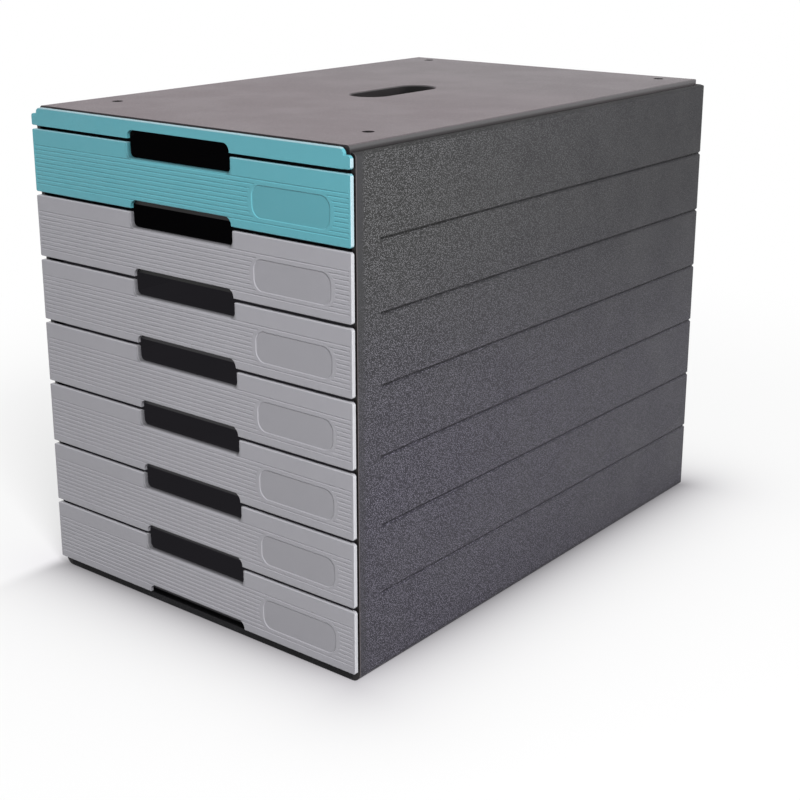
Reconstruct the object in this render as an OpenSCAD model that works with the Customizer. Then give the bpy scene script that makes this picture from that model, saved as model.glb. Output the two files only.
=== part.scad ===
// Desk file box with seven drawers: a screwed plastic housing of two side panels, a back panel,
// a raised top cover with a carry slot and a base plate, and seven trays with clipped-on fronts.
// Millimetres. X runs to the right, Y from the fronts to the back, Z up from the desk.

/* [Housing] */
// Width over the two side panels
housing_w = 250; // [235:1:300]
// Depth from the front edge of the side panels to the back face
housing_d = 370; // [345:1:420]
// Thickness of the side and back walls
wall_t = 2.8; // [2.6:0.1:3.4]
// Radius of the long lower edges
lower_edge_r = 5.5; // [5:0.5:8]
// Radius of the upright back corners
back_corner_r = 3; // [2.5:0.5:5]
// Radius along the walls' top outer edge
shoulder_r = 2.4; // [1:0.1:2.5]
// Radius of the side walls' rear corners, seen from the side
side_corner_r = 4; // [2:0.5:6]
// Depth of the V grooves that ring the housing
ring_groove_depth = 1.2; // [0.6:0.1:1.6]
// Height of a ring groove at the surface
ring_groove_h = 2.6; // [1.6:0.1:3]
// Plain side wall in front of each ring groove
ring_groove_start = 19; // [10:1:40]

/* [Top cover] */
// Thickness of the cover's plate
cover_t = 2.6; // [2:0.1:4]
// Height of the cover above the walls' shoulders
cover_rise = 3.6; // [3:0.1:6]
// Shadow gap between the cover and the walls
cover_gap = 1; // [0.6:0.1:1.6]
// Radius of the cover's long top edges
cover_edge_r = 2.2; // [1:0.1:2.4]
// Radius of the cover's back corners in plan
cover_corner_r = 4; // [3:0.5:8]
// Length of the carry slot, front to back
slot_l = 72; // [60:1:100]
// Width of the carry slot
slot_w = 27; // [24:1:40]
// Depth of the collar under the carry slot
slot_collar_h = 8; // [5:0.5:9]
// Distance of the screw holes from the housing's sides
hole_side = 26; // [24:1:40]
// Distance of the front screw holes from the front edge
hole_front = 41; // [30:1:60]
// Distance of the back screw holes from the back face
hole_back = 19; // [19:1:28]
// Radius of the sunk screw holes
hole_r = 3.5; // [3.4:0.1:4.5]

/* [Base] */
// Thickness of the base at its rim
base_t = 4; // [3.4:0.1:6]
// Thickness of the base's floor
base_floor_t = 2.2; // [1.6:0.1:2.6]
// Height by which the rubber feet stand proud
foot_out = 0.6; // [0.4:0.1:1.5]
// Radius of a rubber foot
foot_r = 8; // [6:0.5:12]
// Depth of the pocket that holds a foot
foot_pocket = 1; // [0.6:0.1:1.2]
// Distance of the feet's centres from the housing's sides and ends
foot_inset = 28; // [24:1:40]

/* [Drawer fronts] */
// Height from one drawer to the next
pitch = 40; // [38:0.5:56]
// Gap between two fronts
front_gap = 2.2; // [0.8:0.1:2.6]
// Thickness of a front
front_t = 2.3; // [2:0.1:3.4]
// Gap between the fronts and the housing's front edge
front_standoff = 1.7; // [1.2:0.1:2]
// Radius of the fronts' outer edges
front_edge_r = 0.5; // [0.3:0.1:1.2]
// Radius of a front's corners
front_corner_r = 1.6; // [0.8:0.1:3]
// Width of the finger gap between two fronts
finger_w = 80.5; // [60:0.5:110]
// Depth of the finger gap below the seam
finger_down = 9.6; // [8:0.1:11]
// Height of the finger gap above the seam
finger_up = 6.2; // [4.6:0.1:7]
// Corner radius of the finger gap's lower half
finger_lower_r = 3.2; // [1:0.1:4]
// Corner radius of the finger gap's upper half
finger_upper_r = 4.4; // [1:0.1:4.6]
// Width of the scooped rim beside the finger gap
scoop_side = 0.7; // [0.4:0.1:4]
// Width of the scooped rim below the finger gap
scoop_below = 1.6; // [0.6:0.1:2.4]
// Depth of the scooped rim
scoop_depth = 1; // [0.4:0.1:1.4]

/* [Grip lines] */
// Spacing of the fine grooves across a front
line_pitch = 2.55; // [2.2:0.05:3.4]
// Distance of the first fine groove below the upper seam
line_first = 11; // [10:0.1:13]
// Least distance of the last fine groove above the lower seam
line_last = 4.9; // [3:0.1:7]
// Plain margin at both ends of the fine grooves
line_margin = 1.6; // [1.2:0.1:8]
// Depth of a fine groove
line_depth = 0.3; // [0.2:0.05:0.8]
// Height of a fine groove at the surface
line_h = 1; // [0.6:0.1:1.6]

/* [Label recess] */
// Width of the label recess
label_w = 55.4; // [40:0.2:60]
// Height of the label recess
label_h = 18.2; // [14:0.2:19]
// Corner radius of the label recess
label_r = 6.5; // [2:0.5:6.5]
// Distance of the label recess from the front's right edge
label_inset = 13.8; // [12:0.2:20]
// Depth of the label recess
label_depth = 0.4; // [0.3:0.1:1]
// Width of the recess's sloping wall
label_slope = 0.5; // [0.3:0.1:1.5]
// Depth of the recess's middle below the upper seam
label_drop = 22.6; // [22.5:0.1:24]
// Plain margin left and right of the label recess
label_margin = 2.8; // [2:0.1:5]
// Plain margin above and below the label recess
label_margin_z = 0.9; // [0.6:0.1:1.2]

/* [Header strip] */
// Height of the strip over the top drawer, from the seam to its top
header_h = 11.8; // [11:0.1:20]
// Margin of the housing's outline that shows round the strip
header_margin = 0.8; // [0.4:0.1:1.5]

/* [Trays] */
// Wall thickness of a tray
tray_t = 1.8; // [1.4:0.1:2.4]
// Space between a tray's side walls and the seam above
tray_headroom = 5; // [4:0.5:9]
// Gap between a tray and the housing's side wall
tray_gap = 0.5; // [0.4:0.1:0.8]
// Space between the trays' back and the back face of the housing
tray_back_space = 18; // [17:0.5:24]
// Height of a tray's lower back wall
tray_back_h = 22; // [14:0.5:26]
// How far a drawer pulls out before it meets its stop
travel = 260; // [200:1:290]

/* [Runners] */
// Thickness of the ribs that the trays run on
rib_t = 2.4; // [1.8:0.1:2.6]
// Width of the ribs
rib_w = 5; // [4:0.1:6]
// Height of a rib's underside above the seam of the fronts
rib_rise = 0.8; // [0.4:0.1:1.2]
// Running gap between a tray and its ribs
run_gap = 0.3; // [0.2:0.05:0.5]

/* [Hidden] */
drawers = 7;
$fn = 64;

// Fits
seam = 0.1;        // between panels of the housing
slide_fit = 0.2;   // round tabs in their slots
latch_gap = 0.3;   // between a snap hook and what it catches
stop_gap = 0.5;    // left between a drawer and its stop at full travel
screw_fit = 0.1;   // between a screw's shank and its bore, in radius
over = 0.4;        // how far a rib reaches into the wall that carries it
cut = 1;           // how far a cutter passes through a face
sheet = 0.01;      // thickness of the outlines that a sloping cutter is drawn over

// Screws
shank_r = 1.3;
head_r = 2.9;
head_h = 1.8;
recess_w = 0.8;
recess_depth = 0.9;
cover_screw_l = 9;
base_screw_l = 6.4;

// Levels
base_top = foot_out + base_t;
sill_gap = 1.4;
function seam_z(k) = base_top + sill_gap + (drawers - k) * pitch; // the seam under front k
header_top = seam_z(0) + header_h;
top_z = header_top + header_margin;
shoulder_z = top_z - cover_rise;
ledge_drop = 2;
ledge_t = 2;
ledge_z = shoulder_z - ledge_drop;
function rib_top(k) = seam_z(k) + rib_rise + rib_t;
function tray_z(k) = rib_top(k) + run_gap;

// Widths and depths, measured from the housing's front edge
side_x = housing_w / 2;
inner_x = side_x - wall_t;
back_y = housing_d - wall_t;
front_back_y = -front_standoff;
front_y = front_back_y - front_t;
under_z = top_z - cover_t;
cap_x = inner_x - cover_gap;
cap_y = back_y - cover_gap;
base_x = side_x - lower_edge_r - seam;
tray_x = inner_x - tray_gap;
tray_end_y = housing_d - tray_back_space;
origin_y = (front_y + housing_d) / 2; // the box stands centred over the origin
hole_x = side_x - hole_side;
hole_ys = [hole_front, housing_d - hole_back];
foot_x = side_x - foot_inset;
foot_ys = [foot_inset, housing_d - foot_inset];

// Trays
tray_h = pitch - tray_headroom - rib_rise - rib_t - run_gap;
tray_corner_r = 4;
finger_relief = 1.6; // how much wider than the finger gap the walls behind it are cut
dip_half_w = finger_w / 2 + finger_relief;
dip_corner_r = 3;
tray_back_post = 22;

// Ledges, flanges, aprons and tabs inside the housing
ledge_w = 8;
runner_start = 3;
flange_t = 2.6;
flange_w = 6;
flange_y = back_y - flange_t;
cover_rim_t = 2;
slot_collar_t = 1.8;
slot_bevel_size = 0.7;
stiffener_t = 1.6;
apron_t = 2.4;
apron_z = seam_z(0) + 2;
header_corner_r = 3.6;
boss_r = 4;
boss_h = 8;
screw_seat = 1.4; // under the heads of the cover's screws
head_sink = 0.4;  // of the base's screws below its rim
base_rim_w = 3;
base_rib_t = 2;
foot_cup_t = 2;
tab_half = 7;
base_tab_w = 14;
base_tab_ys = [70, housing_d - 70];
base_tab_x = inner_x - 9;
hook_w = 10;
hook_t = 2.4;
hook_reach = 2.4;
hook_barb = 3;
hook_levels = [1.5, 3.5, 5.5]; // in drawer heights above the lowest seam
closed_stop_h = 3;
closed_stop_l = 4;

// Stops
catch_l = 4;
catch_h = 3.4;
lug_l = 6;
lug_w = 3.4;
lug_from_end = 2;
lug_front_y = tray_end_y - lug_from_end - lug_l;
catch_end_y = lug_front_y - travel - stop_gap;

// Clips that hold the fronts and the header strip
clip_w = 12;
clip_h = 3;
clip_rise = 1;
clip_l = 1.5;
outer_clip_x = tray_x - 21;
inner_clip_x = finger_w / 2 + 17;
front_clip_xs = [-outer_clip_x, -inner_clip_x, inner_clip_x, outer_clip_x];
front_clip_z = 14;
header_clip_x = cap_x - 36;
header_clip_z = under_z - latch_gap - clip_rise - clip_h;

// Grip lines
line_count = floor((pitch - line_first - line_last) / line_pitch) + 1;

anthracite = [0.27, 0.27, 0.28];
charcoal = [0.17, 0.17, 0.18];
teal = [0.37, 0.64, 0.69];
pale_grey = [0.58, 0.58, 0.6];
zinc = [0.7, 0.7, 0.72];
black_rubber = [0.08, 0.08, 0.08];

// ---------------------------------------------------------------- helpers

// Sets a piece that is measured from the housing's front edge over the origin
module placed() {
  translate([0, -origin_y, 0]) children();
}

// Rectangle from corner a to corner b; r holds the corner radii, counter-clockwise from a
module rounded(a, b, r) {
  spots = [[a.x, a.y], [b.x, a.y], [b.x, b.y], [a.x, b.y]];
  inward = [[1, 1], [-1, 1], [-1, -1], [1, -1]];
  difference() {
    translate(a) square(b - a);
    for (i = [0:3]) if (r[i] > 0) {
      translate(spots[i]) scale([inward[i].x, inward[i].y]) corner_waste(r[i]);
    }
  }
}

// What a round corner of radius r leaves over, for a corner at the origin
module corner_waste(r) {
  difference() {
    translate([-cut, -cut]) square(r + cut);
    translate([r, r]) circle(r);
    translate([r, -2 * cut]) square([cut, r + 4 * cut]);
  }
}

// Extrudes an outline drawn in X and Z from y0 back to y1
module along_y(y0, y1) {
  translate([0, y1, 0]) rotate([90, 0, 0]) linear_extrude(y1 - y0) children();
}

// Extrudes an outline drawn in Y and Z from x0 to x1
module along_x(x0, x1) {
  translate([x0, 0, 0]) rotate([90, 0, 90]) linear_extrude(x1 - x0) children();
}

// A block from corner a to corner b
module block(a, b) {
  translate(a) cube(b - a);
}

module both_sides() {
  children();
  mirror([1, 0, 0]) children();
}

// V groove's section; the surface lies at x = 0 and the outside at x > 0
module v_section(depth, height) {
  half = height / 2 * (depth + cut) / depth;
  polygon([[-depth, 0], [cut, half], [cut, -half]]);
}

module screw(length) {
  difference() {
    union() {
      cylinder(r = head_r, h = head_h);
      translate([0, 0, -length]) cylinder(r = shank_r, h = length + over);
    }
    for (a = [0, 90]) rotate(a) translate([-head_r * 0.6, -recess_w / 2, head_h - recess_depth])
      cube([head_r * 1.2, recess_w, cut + recess_depth]);
  }
}

// ---------------------------------------------------------------- housing

// Outline of a side panel seen from the side
module side_outline() {
  rounded([0, foot_out], [housing_d, shoulder_z], [0, side_corner_r, side_corner_r, 0]);
}

// The V grooves on the side wall, round the back corner and across the back to x_end
module ring_grooves(x_end) {
  for (k = [1:drawers - 1]) translate([0, 0, seam_z(k) + rib_rise + rib_t / 2]) {
    along_y(ring_groove_start, housing_d - back_corner_r)
      translate([side_x, 0]) v_section(ring_groove_depth, ring_groove_h);
    translate([side_x - back_corner_r, housing_d - back_corner_r, 0]) rotate_extrude(angle = 90)
      translate([back_corner_r, 0]) v_section(ring_groove_depth, ring_groove_h);
    along_x(x_end, side_x - back_corner_r)
      translate([housing_d, 0]) v_section(ring_groove_depth, ring_groove_h);
  }
}

// Wall with its thick lower edge, which the base plate lies against
module side_wall() {
  intersection() {
    along_y(0, housing_d) intersection() {
      union() {
        translate([inner_x, foot_out]) square([wall_t, shoulder_z - foot_out]);
        translate([side_x - lower_edge_r, foot_out]) square([lower_edge_r, base_t]);
      }
      rounded([0, foot_out], [side_x, shoulder_z], [0, lower_edge_r, shoulder_r, 0]);
    }
    along_x(0, side_x + cut) side_outline();
    linear_extrude(top_z) rounded([0, 0], [side_x, housing_d], [0, 0, back_corner_r, 0]);
  }
}

// Ribs under every tray, and one more over the top tray to keep it from tipping
module runners() {
  for (k = [0:drawers]) {
    rib_z = seam_z(k) + rib_rise;
    block(
      [inner_x - rib_w, runner_start, rib_z],
      [inner_x + over, flange_y + over, rib_z + rib_t]
    );
    // the stop that a shut drawer rests against
    if (k > 0) block(
      [inner_x - rib_w, tray_end_y + latch_gap, rib_z + over],
      [inner_x + over, tray_end_y + latch_gap + closed_stop_l, rib_z + rib_t + closed_stop_h]
    );
    // the catch that a drawer's lug meets when it is pulled out
    if (k < drawers) block(
      [inner_x - rib_w, catch_end_y - catch_l, rib_z - catch_h],
      [inner_x + over, catch_end_y, rib_z + over]
    );
  }
}

module side_panel() {
  difference() {
    union() {
      side_wall();
      runners();
      // ledge for the cover's rim
      block([inner_x - ledge_w, runner_start, ledge_z - ledge_t], [inner_x + over, back_y, ledge_z]);
      // upright flange for the back panel
      block([inner_x - flange_w, flange_y, base_top], [inner_x + over, back_y, ledge_z]);
      for (y = hole_ys) {
        block(
          [hole_x - tab_half, y - tab_half, ledge_z - ledge_t],
          [inner_x, y + tab_half, ledge_z]
        );
        translate([hole_x, y, ledge_z - boss_h]) cylinder(r = boss_r, h = boss_h);
      }
      for (y = base_tab_ys) block(
        [inner_x - base_tab_w, y - tab_half, base_top],
        [inner_x + over, y + tab_half, rib_top(drawers)]
      );
    }
    ring_grooves(inner_x - flange_w - cut);
    for (y = hole_ys) translate([hole_x, y, ledge_z - boss_h - cut])
      cylinder(r = shank_r + screw_fit, h = boss_h + 2 * cut);
    for (y = base_tab_ys) translate([base_tab_x, y, 0])
      cylinder(r = shank_r + screw_fit, h = rib_top(drawers) + cut);
  }
}

module right_side_panel() {
  color(anthracite) placed() side_panel();
}

module left_side_panel() {
  color(anthracite) placed() mirror([1, 0, 0]) side_panel();
}

module back_hook() {
  block([inner_x - flange_w - latch_gap - hook_t, flange_y - latch_gap - hook_barb, 0],
        [inner_x - flange_w - latch_gap, back_y + over, hook_w]);
  block([inner_x - flange_w - latch_gap - over, flange_y - latch_gap - hook_barb, 0],
        [inner_x - flange_w + hook_reach, flange_y - latch_gap, hook_w]);
}

module back_panel() {
  color(anthracite) placed() difference() {
    union() {
      along_x(-inner_x + seam, inner_x - seam)
        rounded([back_y, base_top + seam], [housing_d, shoulder_z], [0, 0, shoulder_r, 0]);
      // ledge for the cover's rim, between those of the side panels
      block([-inner_x + ledge_w + slide_fit, back_y - ledge_w, ledge_z - ledge_t],
            [inner_x - ledge_w - slide_fit, back_y + over, ledge_z]);
      both_sides() for (level = hook_levels)
        translate([0, 0, seam_z(drawers) + level * pitch - hook_w / 2]) back_hook();
    }
    for (k = [1:drawers - 1]) translate([0, 0, seam_z(k) + rib_rise + rib_t / 2])
      along_x(-side_x, side_x) translate([housing_d, 0]) v_section(ring_groove_depth, ring_groove_h);
  }
}

// ---------------------------------------------------------------- top cover

// The cover's outline in plan, drawn in by the given amount at its sides and back
module cover_plan(inset) {
  r = cover_corner_r - inset;
  rounded([-cap_x + inset, 0], [cap_x - inset, cap_y - inset], [0, 0, r, r]);
}

module slot_outline(grow) {
  straight = (slot_l - slot_w) / 2;
  for (s = [-1, 1]) translate([0, s * straight]) circle(slot_w / 2 + grow);
  square([slot_w + 2 * grow, 2 * straight], center = true);
}

// Broken edge round the carry slot
module slot_bevel(size) {
  straight = (slot_l - slot_w) / 2;
  r = slot_w / 2;
  wide = r + size + cut;
  for (s = [-1, 1]) translate([0, s * straight, -size]) cylinder(r1 = r, r2 = wide, h = size + cut);
  along_y(-straight, straight) polygon([[-r, -size], [r, -size], [wide, cut], [-wide, cut]]);
}

module cover_plate() {
  intersection() {
    along_y(0, cap_y) rounded([-cap_x, under_z], [cap_x, top_z], [0, 0, cover_edge_r, cover_edge_r]);
    along_x(-cap_x, cap_x) rounded([0, under_z], [cap_y, top_z], [0, 0, cover_edge_r, 0]);
    translate([0, 0, under_z]) linear_extrude(cover_t) cover_plan(0);
  }
}

// Front apron that carries the header strip; it is open behind the finger gap
module cover_apron() {
  difference() {
    block([-cap_x, 0, apron_z], [cap_x, apron_t, under_z + over]);
    along_y(-cut, apron_t + cut) rounded([-dip_half_w, apron_z - cut],
      [dip_half_w, seam_z(0) + finger_up + finger_relief], [0, 0, dip_corner_r, dip_corner_r]);
    both_sides() block(
      [header_clip_x - clip_w / 2 - slide_fit, -cut, header_clip_z - slide_fit],
      [header_clip_x + clip_w / 2 + slide_fit, apron_t + cut, header_clip_z + clip_h + slide_fit]
    );
  }
}

module top_cover() {
  slot_y = housing_d / 2;
  color(anthracite) placed() difference() {
    union() {
      cover_plate();
      // rim that stands on the ledges
      translate([0, 0, ledge_z]) linear_extrude(under_z - ledge_z + over) difference() {
        cover_plan(0);
        translate([0, -cut]) cover_plan(cover_rim_t);
      }
      cover_apron();
      translate([0, slot_y, under_z - slot_collar_h])
        linear_extrude(slot_collar_h + over) slot_outline(slot_collar_t);
      both_sides() for (y = hole_ys) translate([hole_x, y, ledge_z])
        cylinder(r = hole_r + 2, h = under_z - ledge_z + over);
      // stiffening ribs
      for (y = [1, 3] * cap_y / 4)
        block([-cap_x + 1, y, ledge_z], [cap_x - 1, y + stiffener_t, under_z + over]);
      both_sides() block(
        [cap_x / 2, apron_t - over, ledge_z],
        [cap_x / 2 + stiffener_t, cap_y - 1, under_z + over]
      );
    }
    translate([0, slot_y, under_z - slot_collar_h - cut])
      linear_extrude(slot_collar_h + cover_t + 2 * cut) slot_outline(0);
    translate([0, slot_y, top_z]) slot_bevel(slot_bevel_size);
    both_sides() for (y = hole_ys) translate([hole_x, y, 0]) {
      translate([0, 0, ledge_z + screw_seat]) cylinder(r = hole_r, h = top_z);
      cylinder(r = shank_r + screw_fit + 0.2, h = top_z);
    }
  }
}

// ---------------------------------------------------------------- base plate

module base_plate() {
  boss = head_r + slide_fit + 2;
  color(charcoal) placed() difference() {
    intersection() {
      union() {
        block([-base_x, 0, base_top - base_floor_t], [base_x, housing_d, base_top]);
        difference() {
          block([-base_x, 0, foot_out], [base_x, housing_d, base_top - over]);
          block(
            [-base_x + base_rim_w, base_rim_w, 0],
            [base_x - base_rim_w, housing_d - base_rim_w, base_top]
          );
        }
        // ribs under the floor
        for (y = [1, 2, 3, 4] * housing_d / 5)
          block([-base_x + 1, y, foot_out], [base_x - 1, y + base_rib_t, base_top - over]);
        for (x = [-foot_x, 0, foot_x])
          block([x - base_rib_t / 2, 1, foot_out], [x + base_rib_t / 2, housing_d - 1, base_top - over]);
        both_sides() for (y = foot_ys) translate([foot_x, y, foot_out])
          cylinder(r = foot_r + foot_cup_t, h = base_t - over);
        both_sides() for (y = base_tab_ys) translate([base_tab_x, y, foot_out])
          cylinder(r = boss, h = base_t - over);
      }
      along_x(-base_x, base_x) side_outline();
    }
    both_sides() for (y = foot_ys) translate([foot_x, y, foot_out - cut])
      cylinder(r = foot_r + seam, h = foot_pocket + cut);
    both_sides() for (y = base_tab_ys) translate([base_tab_x, y, 0]) {
      cylinder(r = shank_r + screw_fit + 0.2, h = base_top + cut);
      cylinder(r = head_r + slide_fit, h = foot_out + head_sink + head_h);
    }
  }
}

module rubber_feet() {
  color(black_rubber) placed() both_sides() for (y = foot_ys) translate([foot_x, y, 0])
    cylinder(r = foot_r, h = foot_out + foot_pocket);
}

module cover_screws() {
  color(zinc) placed() both_sides() for (y = hole_ys)
    translate([hole_x, y, ledge_z + screw_seat]) screw(cover_screw_l);
}

module base_screws() {
  color(zinc) placed() both_sides() for (y = base_tab_ys)
    translate([base_tab_x, y, foot_out + head_sink + head_h]) mirror([0, 0, 1]) screw(base_screw_l);
}

// ---------------------------------------------------------------- drawer fronts

// A panel in the fronts' plane from height z0 to z1, its outer edges rounded
module front_blank(z0, z1, r) {
  intersection() {
    along_y(front_y, front_back_y) rounded([-side_x, z0], [side_x, z1], r);
    along_x(-side_x, side_x)
      rounded([front_y, z0], [front_back_y, z1], [front_edge_r, 0, 0, front_edge_r]);
    translate([0, 0, z0]) linear_extrude(z1 - z0)
      rounded([-side_x, front_y], [side_x, front_back_y], [front_edge_r, front_edge_r, 0, 0]);
  }
}

// Upper half of the finger gap, cut into the piece above the seam at height z
module finger_upper(z) {
  r = finger_upper_r;
  along_y(front_y - cut, front_back_y + cut)
    rounded([-finger_w / 2, z - cut], [finger_w / 2, z + finger_up], [0, 0, r, r]);
}

// Lower half of the finger gap, cut into the front below the seam at height z
module finger_lower(z) {
  r = finger_lower_r;
  along_y(front_y - cut, front_back_y + cut)
    rounded([-finger_w / 2, z - finger_down], [finger_w / 2, z + cut], [r, r, 0, 0]);
}

// Scooped rim round the lower half of the finger gap
module finger_scoop(z) {
  r = finger_lower_r + scoop_below;
  hull() {
    along_y(front_y - 2 * sheet, front_y - sheet) rounded(
      [-finger_w / 2 - scoop_side, z - finger_down - scoop_below],
      [finger_w / 2 + scoop_side, z + cut],
      [r, r, 0, 0]
    );
    along_y(front_y + scoop_depth, front_y + scoop_depth + sheet) rounded(
      [-finger_w / 2, z - finger_down], [finger_w / 2, z + cut], [finger_lower_r, finger_lower_r, 0, 0]);
  }
}

// Fine V grooves across a front whose upper seam is at height z, with the label's field left plain
module grip_lines(z) {
  label_x = side_x - label_inset - label_w / 2;
  label_z = z - label_drop;
  half_w = label_w / 2 + label_margin;
  half_h = label_h / 2 + label_margin_z;
  r = label_r + (label_margin + label_margin_z) / 2;
  difference() {
    for (i = [0:line_count - 1]) translate([0, front_y, z - line_first - i * line_pitch])
      along_x(-side_x + line_margin, side_x - line_margin) mirror([1, 0]) v_section(line_depth, line_h);
    along_y(front_y - 2 * cut, front_back_y)
      rounded([label_x - half_w, label_z - half_h], [label_x + half_w, label_z + half_h], [r, r, r, r]);
  }
}

// Shallow pocket with sloping walls for a label
module label_recess(z) {
  x1 = side_x - label_inset;
  z1 = z - label_drop + label_h / 2;
  r = label_r;
  s = label_slope;
  hull() {
    along_y(front_y - 2 * sheet, front_y - sheet)
      rounded([x1 - label_w, z1 - label_h], [x1, z1], [r, r, r, r]);
    along_y(front_y + label_depth, front_y + label_depth + sheet)
      rounded([x1 - label_w + s, z1 - label_h + s], [x1 - s, z1 - s], [r - s, r - s, r - s, r - s]);
  }
}

// Snap tabs on a panel's back that pass through slots in a wall of thickness wall
module clips(xs, z, wall) {
  for (x = xs) {
    block([x - clip_w / 2, front_back_y - over, z],
          [x + clip_w / 2, front_back_y + wall + clip_l, z + clip_h]);
    block([x - clip_w / 2, front_back_y + wall + latch_gap, z + clip_h - over],
          [x + clip_w / 2, front_back_y + wall + clip_l, z + clip_h + clip_rise]);
  }
}

module drawer_front(k) {
  upper = seam_z(k - 1);
  r = front_corner_r;
  color(k == 1 ? teal : pale_grey) placed() {
    difference() {
      front_blank(seam_z(k) + front_gap / 2, upper - front_gap / 2, [r, r, r, r]);
      finger_lower(upper);
      finger_scoop(upper);
      finger_upper(seam_z(k));
      grip_lines(upper);
      label_recess(upper);
    }
    clips(front_clip_xs, seam_z(k) + front_clip_z, tray_t);
  }
}

// Strip over the top drawer; its top steps in like the housing behind it
module header_strip() {
  low = seam_z(0) + front_gap / 2;
  step_z = shoulder_z - header_margin;
  step_x = cap_x - header_margin;
  color(teal) placed() {
    difference() {
      union() {
        front_blank(low, step_z, [front_corner_r, front_corner_r, shoulder_r, shoulder_r]);
        intersection() {
          along_y(front_y, front_back_y)
            rounded([-step_x, low], [step_x, header_top], [0, 0, header_corner_r, header_corner_r]);
          along_x(-step_x, step_x)
            rounded([front_y, low], [front_back_y, header_top], [0, 0, 0, front_edge_r]);
          translate([0, 0, low]) linear_extrude(header_top - low)
            rounded([-step_x, front_y], [step_x, front_back_y], [front_edge_r, front_edge_r, 0, 0]);
        }
      }
      finger_upper(seam_z(0));
    }
    clips([-header_clip_x, header_clip_x], header_clip_z, front_standoff + apron_t);
  }
}

// ---------------------------------------------------------------- trays

module drawer_tray(k) {
  low = tray_z(k);
  high = low + tray_h;
  y0 = front_back_y;
  lug_top = seam_z(k - 1) + rib_rise - stop_gap;
  color(charcoal) placed() difference() {
    union() {
      translate([0, 0, low]) linear_extrude(tray_h)
        rounded([-tray_x, y0], [tray_x, tray_end_y], tray_corner_r * [0.25, 0.25, 1, 1]);
      // lugs that meet the catches when the drawer is pulled out
      both_sides()
        block([tray_x - lug_w, lug_front_y, high - 2], [tray_x, lug_front_y + lug_l, lug_top]);
    }
    difference() {
      translate([0, 0, low + tray_t]) linear_extrude(pitch) rounded([-tray_x + tray_t, y0 + tray_t],
        [tray_x - tray_t, tray_end_y - tray_t], tray_corner_r * [0.5, 0.5, 0.75, 0.75]);
      both_sides()
        block([tray_x - lug_w, lug_front_y, low], [tray_x, lug_front_y + lug_l, lug_top + cut]);
    }
    // the front wall dips behind the finger gap
    along_y(y0 - cut, y0 + tray_t + cut) rounded([-dip_half_w, seam_z(k - 1) - finger_down - finger_relief],
      [dip_half_w, high + cut], [dip_corner_r, dip_corner_r, 0, 0]);
    // the back wall is lower, so that papers can be lifted out
    along_y(tray_end_y - tray_t - cut, tray_end_y + cut) rounded(
      [-tray_x + tray_back_post, low + tray_back_h],
      [tray_x - tray_back_post, high + cut],
      [5, 5, 0, 0]
    );
    // slots for the front's clips
    for (x = front_clip_xs) block(
      [x - clip_w / 2 - slide_fit, y0 - cut, seam_z(k) + front_clip_z - slide_fit],
      [x + clip_w / 2 + slide_fit, y0 + tray_t + cut, seam_z(k) + front_clip_z + clip_h + slide_fit]
    );
  }
}

left_side_panel();
right_side_panel();
back_panel();
top_cover();
base_plate();
header_strip();
cover_screws();
base_screws();
rubber_feet();
for (k = [1:drawers]) {
  drawer_front(k);
  drawer_tray(k);
}
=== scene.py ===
"""Desk file box with seven drawers: its pieces' finishes, a pale floor, soft light, a camera."""

import math

import bpy
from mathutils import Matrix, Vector


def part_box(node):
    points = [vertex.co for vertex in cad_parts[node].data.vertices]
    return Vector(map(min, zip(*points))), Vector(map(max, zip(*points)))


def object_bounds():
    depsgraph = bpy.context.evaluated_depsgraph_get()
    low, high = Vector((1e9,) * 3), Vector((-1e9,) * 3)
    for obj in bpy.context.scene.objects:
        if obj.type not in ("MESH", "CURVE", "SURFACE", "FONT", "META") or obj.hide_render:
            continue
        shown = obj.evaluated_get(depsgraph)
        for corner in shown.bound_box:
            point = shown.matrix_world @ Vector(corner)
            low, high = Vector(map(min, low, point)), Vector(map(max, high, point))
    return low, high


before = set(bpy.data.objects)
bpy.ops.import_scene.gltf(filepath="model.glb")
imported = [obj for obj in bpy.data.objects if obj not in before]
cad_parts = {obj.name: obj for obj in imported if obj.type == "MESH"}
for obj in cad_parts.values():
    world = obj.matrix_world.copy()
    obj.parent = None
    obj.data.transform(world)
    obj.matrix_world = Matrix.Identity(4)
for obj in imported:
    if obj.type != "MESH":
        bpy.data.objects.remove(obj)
cad_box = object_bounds()

MM = 0.001
DRAWERS = range(1, 8)

# faces of the box, as it stands in the frame
HOUSING_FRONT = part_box("right_side_panel")[0].y
HOUSING_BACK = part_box("right_side_panel")[1].y
HOUSING_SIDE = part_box("right_side_panel")[1].x
WALL_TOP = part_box("right_side_panel")[1].z
TRAY_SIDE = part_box("drawer_1_tray")[1].x
BOX_TOP = cad_box[1].z
FRONT_FACE = cad_box[0].y

# seams over the drawer fronts: half their gap, the distance to the next, the highest one's level
HALF_SEAM = 1.1 * MM
SEAM_PITCH = 40 * MM
TOP_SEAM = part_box("drawer_1_front")[1].z + HALF_SEAM

# a front's finger gap: half its width, and its reach below and above the seam that it crosses
GAP_SIDE = 40.25 * MM
GAP_BELOW = 9.6 * MM
GAP_ABOVE = 6.2 * MM

# a front's label recess: its middle and half its width
LABEL_MIDDLE = 83.5 * MM
LABEL_SIDE = 27.7 * MM


# ---------------------------------------------------------------- finishes: the tools

def linear(red, green, blue):
    """A colour read in 0-255 display values, as the linear colour that shaders take."""
    def channel(value):
        value /= 255
        return value / 12.92 if value <= 0.04045 else ((value + 0.055) / 1.055) ** 2.4
    return (channel(red), channel(green), channel(blue), 1.0)


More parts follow.
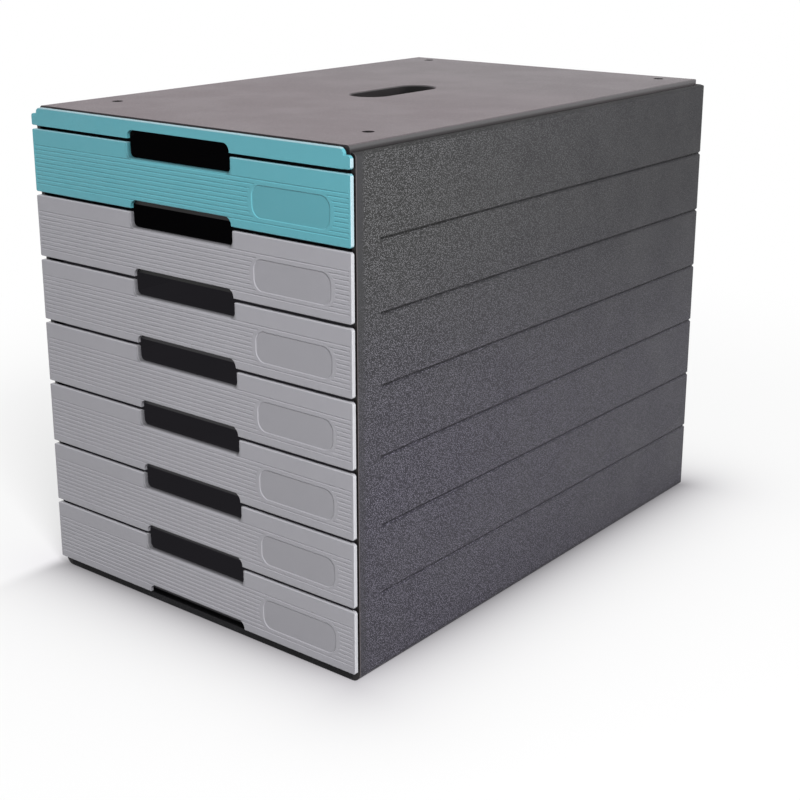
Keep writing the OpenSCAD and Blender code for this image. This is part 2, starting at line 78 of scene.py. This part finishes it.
class Value:
    """An output socket of a finish. Arithmetic on a socket that holds a number adds Math nodes."""

    def __init__(self, finish, socket):
        self.finish = finish
        self.socket = socket

    def _math(self, operation, first, second=0.0):
        return self.finish.node("ShaderNodeMath", {"operation": operation}, {0: first, 1: second})

    def __add__(self, other):
        return self._math("ADD", self, other)

    __radd__ = __add__

    def __sub__(self, other):
        return self._math("SUBTRACT", self, other)

    def __rsub__(self, other):
        return self._math("SUBTRACT", other, self)

    def __mul__(self, other):
        return self._math("MULTIPLY", self, other)

    __rmul__ = __mul__

    def __mod__(self, other):
        return self._math("FLOORED_MODULO", self, other)

    def __abs__(self):
        return self._math("ABSOLUTE", self)


class Finish:
    """A material, or the world, under construction."""

    def __init__(self, owner):
        self.owner = owner
        owner.use_nodes = True
        self.tree = owner.node_tree
        self.tree.nodes.clear()
        self.place = self.node("ShaderNodeTexCoord", output="Object")

    def node(self, kind, settings=None, inputs=None, output=0):
        """Adds a node, sets it up, then fills its sockets with numbers, colours or links."""
        made = self.tree.nodes.new(kind)
        for name, setting in (settings or {}).items():
            setattr(made, name, setting)
        for name, given in (inputs or {}).items():
            if isinstance(given, Value):
                self.tree.links.new(given.socket, made.inputs[name])
            else:
                made.inputs[name].default_value = given
        return Value(self, made.outputs[output]) if len(made.outputs) else None

    def vector(self, operation, first, second=(0, 0, 0), output="Vector"):
        return self.node("ShaderNodeVectorMath", {"operation": operation},
                         {0: first, 1: second}, output)

    def axis(self, name):
        """Metres along X, Y or Z in the box's own frame."""
        return self.node("ShaderNodeSeparateXYZ", inputs={0: self.place}, output=name)

    def noise(self, size, detail=2.0, roughness=0.5, stretch=(1, 1, 1)):
        """Noise from 0 to 1, its features about size metres wide and drawn out by stretch."""
        return self.node("ShaderNodeTexNoise", inputs={
            "Vector": self.vector("DIVIDE", self.place, stretch), "Scale": 1 / size,
            "Detail": detail, "Roughness": roughness}, output="Fac")

    def grain(self, size):
        """A moulding's grain from 0 to 1: round bumps about size metres apart, each with a height
        of its own, in finer noise."""
        settings, inputs = {"feature": "F1"}, {"Vector": self.place, "Scale": 1 / size}
        away = self.node("ShaderNodeTexVoronoi", settings, inputs, output="Distance")
        cell = self.node("ShaderNodeTexVoronoi", settings, inputs, output="Color")
        height = self.node("ShaderNodeSeparateColor", inputs={0: cell}, output="Red")
        return 0.7 * (height * self.ramp(away, 0.15, 0.6, 1.0, 0.0)) + 0.3 * self.noise(0.5 * MM)

    def ramp(self, value, low, high, start=0.0, end=1.0):
        """Runs smoothly from start to end while value runs from low to high."""
        return self.node("ShaderNodeMapRange", {"interpolation_type": "SMOOTHSTEP"}, {
            "Value": value, "From Min": low, "From Max": high, "To Min": start, "To Max": end})

    def exponential(self, value, reach):
        """Falls from 1 at a value of 0 to about a third at a value of reach, and on towards 0."""
        return self.node("ShaderNodeMath", {"operation": "EXPONENT"}, {0: value * (-1 / reach)})

    def mix(self, factor, first, second):
        """The first colour at factor 0, the second at 1."""
        return self.node("ShaderNodeMix", {"data_type": "RGBA"},
                         {0: factor, 6: first, 7: second}, output=2)

    def shade(self, colour, amount):
        """The colour made lighter or darker by a factor that varies."""
        grey = self.node("ShaderNodeCombineColor", inputs={0: amount, 1: amount, 2: amount})
        return self.node("ShaderNodeMix", {"data_type": "RGBA", "blend_type": "MULTIPLY"},
                         {0: 1.0, 6: colour, 7: grey}, output=2)

    def bump(self, height, depth):
        """A surface normal from a height of 0 to 1 over a depth in metres."""
        return self.node("ShaderNodeBump",
                         inputs={"Height": height, "Distance": depth, "Strength": 1.0})

    def in_view(self):
        """1 for what the camera, a reflection or a transmission sees, 0 for the light."""
        kinds = ("Is Camera Ray", "Is Glossy Ray", "Is Transmission Ray")
        return sum(self.node("ShaderNodeLightPath", output=kind) for kind in kinds)

    def mix_shader(self, factor, first, second):
        """The first shader at factor 0, the second at 1."""
        return self.node("ShaderNodeMixShader", inputs={0: factor, 1: first, 2: second})

    def ends_in(self, shader):
        kind = "World" if isinstance(self.owner, bpy.types.World) else "Material"
        self.node("ShaderNodeOutput" + kind, inputs={"Surface": shader})
        return self.owner

    def plastic(self, **sockets):
        """Ends the material in a Principled shader; an underscore in a name stands for a space."""
        inputs = {name.replace("_", " "): given for name, given in sockets.items()}
        return self.ends_in(self.node("ShaderNodeBsdfPrincipled", inputs=inputs))


def finish(name):
    return Finish(bpy.data.materials.new(name))


# ---------------------------------------------------------------- finishes: the pieces

def shaded_lip(f, from_front):
    """A factor that darkens the housing's front edge, which lies in the shade of the fronts."""
    return f.ramp(from_front, 0.02 * MM, 0.2 * MM, 0.1, 1.0)


def grained_housing(name, front_band):
    """Anthracite moulding with a coarse spark-eroded grain. Painted shade darkens it towards the
    upper back, inward of its outer side faces and on its top shoulder, and a painted bounce from
    the floor tints it bluer towards its foot. With front_band the grain fades out before the front
    edge, which ends in a thin painted highlight."""
    f = finish(name)
    x, z, from_front = f.axis("X"), f.axis("Z"), f.axis("Y") - HOUSING_FRONT
    cloud = f.noise(40 * MM, detail=3.0)
    rearward = f.ramp(from_front, 0, HOUSING_BACK - HOUSING_FRONT)
    # painted bounce light from the floor: the walls turn bluer towards their foot
    painted_bounce_low = f.ramp(z, 0.1, WALL_TOP - 30 * MM, 1.0, 0.0)
    grain = f.grain(0.7 * MM)

    grained = 1.0
    if front_band:
        ragged = (f.noise(2.2 * MM) - 0.5) * (5 * MM)
        at_edge = f.ramp(z, 0.15, 0.27, 0.7, 0.2)
        grained = f.ramp(from_front + ragged, 3.5 * MM, 7.5 * MM, at_edge, 1.0)
    speck = f.ramp(grain, 0.2, 0.6) * grained * (1 - 0.55 * rearward)

    between = f.mix(painted_bounce_low, linear(26, 26, 26), linear(28, 26, 34))
    between = f.mix(rearward, between, linear(37, 36, 41))
    on_top = f.mix(painted_bounce_low, linear(99, 99, 101), linear(102, 99, 111))
    plain = f.mix(cloud, linear(36, 36, 37), linear(42, 42, 45))
    colour = f.mix(grained, plain, f.mix(speck, between, on_top))
    if front_band:
        # painted highlight: a thin pale line along the front edge
        painted_edge_highlight = f.ramp(from_front, 0.3 * MM, 0.7 * MM, 1.0, 0.0)
        colour = f.mix(painted_edge_highlight, colour, linear(82, 76, 77))

    # painted shade: surfaces set in from the outer side faces, such as the groove under the cover,
    # are darker
    painted_inset_shade = f.ramp(HOUSING_SIDE - abs(x), 0.3 * MM, 1.2 * MM, 1.0, 0.6)
    # painted shade on the rounded top shoulder of the walls
    painted_shoulder_shade = f.ramp(z, WALL_TOP - 2.4 * MM, WALL_TOP - 0.6 * MM, 1.0, 0.55)
    # painted shade: darker towards the upper back
    painted_upper_back_shade = 1 - 0.6 * rearward * f.ramp(z, 0.08, 0.26)
    cloudy = f.ramp(cloud, 0.25, 0.75, 0.95, 1.05)
    colour = f.shade(colour, shaded_lip(f, from_front) * painted_inset_shade * painted_shoulder_shade * painted_upper_back_shade * cloudy)
    return f.plastic(
        Base_Color=colour, Roughness=f.ramp(cloud, 0.3, 0.7, 0.5, 0.6) - 0.08 * speck, IOR=1.42,
        Normal=f.bump(grain * grained, 0.12 * MM))


def grained_cover():
    """The cover: a finer grain in a warmer anthracite, cooler and dustier towards the back. Painted
    shade darkens its edges, screw wells and carry slot below the top face."""
    f = finish("cover_fine_grain")
    x, y, depth = f.axis("X"), f.axis("Y"), BOX_TOP - f.axis("Z")
    cloud = f.noise(50 * MM, detail=4.0)
    grain = f.grain(0.8 * MM)
    speck = f.ramp(grain, 0.2, 0.6)
    dusty = f.ramp(y + (cloud - 0.5) * (220 * MM), -60 * MM, 150 * MM)
    colour = f.mix(dusty, f.mix(speck, linear(54, 48, 50), linear(84, 76, 79)),
                   f.mix(speck, linear(54, 52, 53), linear(88, 86, 88)))
    # painted shade: the rounded edges turn a darker neutral grey just below the top face
    colour = f.mix(f.ramp(depth, 0.05 * MM, 0.8 * MM), colour, linear(54, 54, 55))

    inside_rim = (f.ramp(abs(x), 108 * MM, 114 * MM, 1.0, 0.0)
                  * f.ramp(HOUSING_BACK - y, 8 * MM, 12 * MM))
    # painted shade: the cover's sides grow dark below the top face
    painted_edge_shade = f.ramp(depth, 1.2 * MM, 3 * MM, 1.0, 0.15)
    by_wells = f.ramp(abs(x), 60 * MM, 70 * MM)
    # painted shade: the screw wells and carry slot go nearly black below the top face
    painted_opening_shade = f.ramp(depth * (1 + 4 * by_wells), 0.2 * MM, 1.1 * MM, 1.0, 0.03)
    lip = shaded_lip(f, y - HOUSING_FRONT)
    colour = f.shade(colour, lip * (painted_edge_shade + inside_rim * (painted_opening_shade - painted_edge_shade)))
    return f.plastic(
        Base_Color=f.shade(colour, f.ramp(cloud, 0.25, 0.75, 0.93, 1.07)),
        Roughness=f.ramp(cloud, 0.3, 0.7, 0.48, 0.56), IOR=1.5,
        Sheen_Weight=0.1, Sheen_Roughness=0.5, Sheen_Tint=(1.0, 0.8, 0.88, 1.0),
        Normal=f.bump(grain, 0.05 * MM))


def satin_front(name, colour, painted_highlight_colour):
    """A drawer front or the header strip: smooth satin plastic with a painted highlight on its ends
    and top edge. Painted shade makes the scoop and walls of the finger gap and the floor of the
    label recess a little darker."""
    f = finish(name)
    x, z, depth = f.axis("X"), f.axis("Z"), f.axis("Y") - FRONT_FACE
    below_seam = (TOP_SEAM - z) % SEAM_PITCH
    cloud = f.noise(60 * MM, detail=3.0)
    smudge = f.noise(9 * MM, detail=5.0, roughness=0.6)

    # painted highlight: paler ends and a paler top edge
    ends = f.ramp(abs(x), HOUSING_SIDE - 0.4 * MM, HOUSING_SIDE - 0.1 * MM)
    painted_top_highlight = (f.ramp(below_seam, HALF_SEAM + 0.2 * MM, HALF_SEAM + 0.7 * MM, 0.4, 0.0)
                + f.ramp(z, BOX_TOP - 1.6 * MM, BOX_TOP - 1.2 * MM, 0.0, 0.7))
    tone = f.mix(painted_top_highlight, f.mix(ends, colour, painted_highlight_colour), painted_highlight_colour)

    # painted shade on the scoop below the finger gap
    scoop = (f.ramp(abs(x), GAP_SIDE - 1.25 * MM, GAP_SIDE + 2.25 * MM, 1.0, 0.0)
             * f.ramp(below_seam, GAP_BELOW - 0.1 * MM, GAP_BELOW + 1.6 * MM, 0.6, 0.0))
    # painted shade on the floor of the label recess
    label = (f.ramp(abs(x - LABEL_MIDDLE), LABEL_SIDE - 0.7 * MM, LABEL_SIDE + 0.3 * MM, 1.0, 0.0)
             * f.ramp(depth, 0.15 * MM, 0.35 * MM, 0.0, 0.1))
    middle = (GAP_BELOW + SEAM_PITCH - GAP_ABOVE) / 2  # of the front, between its two gaps
    half = (SEAM_PITCH - GAP_ABOVE - GAP_BELOW) / 2
    # painted shade on the side walls of the finger gap
    painted_gap_wall_shade = (f.ramp(abs(x), GAP_SIDE + 0.85 * MM, GAP_SIDE + 1.35 * MM, 1.0, 0.0)
                * f.ramp(depth, 0.1 * MM, 0.4 * MM)
                * f.ramp(abs(below_seam - middle), half - 1.1 * MM, half - 0.1 * MM, 0.0, 0.4))
    cloudy = f.ramp(cloud, 0.25, 0.75, 0.985, 1.015)
    tone = f.shade(tone, (1 - scoop) * (1 - label) * (1 - painted_gap_wall_shade) * cloudy)
    return f.plastic(
        Base_Color=tone, Roughness=f.ramp(smudge, 0.3, 0.75, 0.36, 0.46), IOR=1.41,
        Normal=f.bump(f.noise(0.35 * MM), 0.012 * MM))


def dark_tray():
    """Near-black satin tray with streaks where its walls rub on the runners. A trace of stray light
    keeps the lower trays, seen through the finger gaps, from going quite black."""
    f = finish("tray_dark_satin")
    from_front = f.axis("Y") - HOUSING_FRONT
    cloud = f.noise(45 * MM, detail=4.0)
    grain = f.noise(0.5 * MM, detail=3.0)
    streak = f.noise(0.9 * MM, detail=3.0, stretch=(1, 90, 1))
    rubbed = (f.ramp(abs(f.axis("X")), TRAY_SIDE - 0.4 * MM, TRAY_SIDE - 0.1 * MM)
              * f.ramp(streak, 0.52, 0.7))
    # painted shade: the tray's front wall, behind the drawer front, is nearly black
    painted_front_wall_shade = f.ramp(from_front, -1.6 * MM, 0.5 * MM, 0.1, 1.0)
    colour = f.shade(f.mix(cloud, linear(20, 20, 22), linear(27, 27, 29)), painted_front_wall_shade)
    third_seam = TOP_SEAM - 2 * SEAM_PITCH
    stray = f.ramp(f.axis("Z"), third_seam, third_seam + 0.1 * SEAM_PITCH, 1.0, 0.1)
    return f.plastic(
        Base_Color=f.mix(rubbed, colour, linear(60, 60, 62)),
        Roughness=f.ramp(cloud, 0.3, 0.7, 0.44, 0.54) + 0.1 * rubbed, IOR=1.35,
        Emission_Color=f.shade((0.0125, 0.0118, 0.0138, 1.0), stray), Emission_Strength=1.0,
        Normal=f.bump(0.7 * grain + 0.3 * streak, 0.04 * MM))


def dark_base():
    """The base plate: the trays' black with a grain like the housing's."""
    f = finish("base_dark_grain")
    grain = f.grain(0.8 * MM)
    cloud = f.noise(30 * MM, detail=4.0)
    colour = f.mix(f.ramp(grain, 0.2, 0.6), linear(14, 14, 16), linear(34, 34, 36))
    return f.plastic(
        Base_Color=f.shade(colour, f.ramp(cloud, 0.25, 0.75, 0.9, 1.1)),
        Roughness=f.ramp(cloud, 0.3, 0.7, 0.5, 0.62), IOR=1.3, Normal=f.bump(grain, 0.1 * MM))


def zinc_screw():
    """Zinc plate: a cool metal with faint tarnish."""
    f = finish("screw_zinc_plate")
    tarnish = f.noise(1.6 * MM, detail=4.0)
    brushed = f.noise(0.25 * MM, stretch=(6, 1, 1))
    return f.plastic(
        Base_Color=f.mix(tarnish, (0.46, 0.46, 0.48, 1.0), (0.62, 0.61, 0.6, 1.0)), Metallic=1.0,
        Roughness=f.ramp(tarnish, 0.3, 0.7, 0.26, 0.42), Normal=f.bump(brushed, 0.015 * MM))


def foot_rubber():
    """Matt black rubber."""
    f = finish("foot_black_rubber")
    grain = f.noise(0.7 * MM, detail=4.0, roughness=0.7)
    return f.plastic(
        Base_Color=f.mix(grain, linear(24, 24, 25), linear(38, 38, 39)),
        Roughness=f.ramp(grain, 0.3, 0.7, 0.78, 0.92), Normal=f.bump(grain, 0.05 * MM))


def dress(material, *nodes):
    for node in nodes:
        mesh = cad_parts[node].data
        mesh.materials.clear()
        mesh.materials.append(material)


dress(grained_housing("side_panel_grain", True), "left_side_panel", "right_side_panel")
dress(grained_housing("back_panel_grain", False), "back_panel")
dress(grained_cover(), "top_cover")
dress(dark_base(), "base_plate")
# each front's second colour is its painted highlight on the ends and top edge
dress(satin_front("front_teal", linear(76, 137, 147), linear(143, 164, 171)),
      "header_strip", "drawer_1_front")
dress(satin_front("front_grey", linear(133, 132, 137), linear(157, 157, 161)),
      *[f"drawer_{k}_front" for k in DRAWERS[1:]])
dress(dark_tray(), *[f"drawer_{k}_tray" for k in DRAWERS])
dress(zinc_screw(), "cover_screws", "base_screws")
dress(foot_rubber(), "rubber_feet")


# ---------------------------------------------------------------- floor, light and camera

# the lilac tints near the base colour the floor's painted shadow
WHITE, WHITE_SHADOW_TINT = (1, 1, 1, 1), (1.0, 0.975, 1.02, 1)
FLOOR, FLOOR_SHADOW_TINT = (0.62, 0.62, 0.62, 1), (0.62, 0.605, 0.632, 1)
DIM_FLOOR = (0.5, 0.5, 0.5, 1.0)
BOX_MIDDLE = Vector((0, 0, 0.15))


def pale_floor(reach, veil, white_at):
    """A pale floor with a soft painted shadow that darkens it up to the base. It is seen through a
    white veil that closes at a distance of white_at; for the light it is greyer, so that it throws
    little back up."""
    corners = [(-reach, -reach, 0), (reach, -reach, 0), (reach, reach, 0), (-reach, reach, 0)]
    mesh = bpy.data.meshes.new("floor")
    mesh.from_pydata(corners, [], [(0, 1, 2, 3)])
    floor = bpy.data.objects.new("floor", mesh)
    bpy.context.scene.collection.objects.link(floor)

    f = finish("pale_floor")
    centre = (0, (HOUSING_FRONT + HOUSING_BACK) / 2, 0)
    footprint = (HOUSING_SIDE - 3 * MM, (HOUSING_BACK - HOUSING_FRONT) / 2, 0)
    from_centre = f.vector("ABSOLUTE", f.vector("SUBTRACT", f.place, centre))
    past_edge = f.vector("MAXIMUM", f.vector("SUBTRACT", from_centre, footprint))
    away = f.vector("LENGTH", past_edge, output="Value")
    near_base = f.exponential(away, 25 * MM)
    from_corner = f.vector("DISTANCE", f.place, (HOUSING_SIDE, HOUSING_FRONT, 0), output="Value")
    near_corner = f.exponential(from_corner, 60 * MM)
    not_left = f.ramp(f.axis("X"), -HOUSING_SIDE - 15 * MM, -HOUSING_SIDE, 0.2, 1.0)
    # painted shadow on the floor around the base, weaker at the front right corner and to the left
    tone = 1 - 0.69 * near_base * not_left * (1 - 0.42 * near_corner)

    painted = f.shade(f.mix(near_base, FLOOR, FLOOR_SHADOW_TINT), tone)
    glowing = f.shade(f.mix(near_base, WHITE, WHITE_SHADOW_TINT), tone)
    veiled = f.mix_shader(f.ramp(away, 0, white_at, veil, 1.0),
                          f.node("ShaderNodeBsdfDiffuse", inputs={"Color": painted}),
                          f.node("ShaderNodeEmission", inputs={"Color": glowing}))
    dim = f.node("ShaderNodeBsdfDiffuse", inputs={"Color": DIM_FLOOR})
    mesh.materials.append(f.ends_in(f.mix_shader(f.in_view(), dim, veiled)))


def studio_world(level):
    """Even light from all round; what the camera and reflections see of it is white."""
    world = bpy.data.worlds.new("studio")
    bpy.context.scene.world = world
    f = Finish(world)
    light = f.node("ShaderNodeBackground", inputs={"Color": WHITE, "Strength": level})
    white = f.node("ShaderNodeBackground", inputs={"Color": WHITE, "Strength": 1.0})
    f.ends_in(f.mix_shader(f.in_view(), light, white))


def softbox(name, place, size, power, mirrored=True):
    """A square soft light that points at the box. Unless it is mirrored, no gloss shows it."""
    lamp = bpy.data.lights.new(name, "AREA")
    lamp.shape = "SQUARE"
    lamp.size = size
    lamp.energy = power
    box = bpy.data.objects.new(name, lamp)
    box.location = place
    box.visible_glossy = mirrored
    box.rotation_euler = (BOX_MIDDLE - Vector(place)).to_track_quat("-Z", "Y").to_euler()
    bpy.context.scene.collection.objects.link(box)


def photo_camera():
    """The photograph's view: from the right front, slightly above the box."""
    data = bpy.data.cameras.new("camera")
    data.lens = 66.3
    data.sensor_width = 36
    data.shift_y = -0.075
    camera = bpy.data.objects.new("camera", data)
    camera.location = (0.5957, -0.7367, 0.4145)
    camera.rotation_euler = (math.radians(90 - 16.56), 0, math.radians(38.63))
    bpy.context.scene.collection.objects.link(camera)
    bpy.context.scene.camera = camera


pale_floor(reach=6, veil=0.75, white_at=0.6)
studio_world(0.15)
softbox("key_light", (1.55, -1.1, 1.6), 0.5, 108, mirrored=False)
softbox("side_light", (2.0, 0.9, 0.8), 0.6, 5)
softbox("back_light", (-1.6, 2.0, 0.55), 1.6, 30, mirrored=False)
photo_camera()
bpy.context.scene.view_settings.view_transform = "Standard"
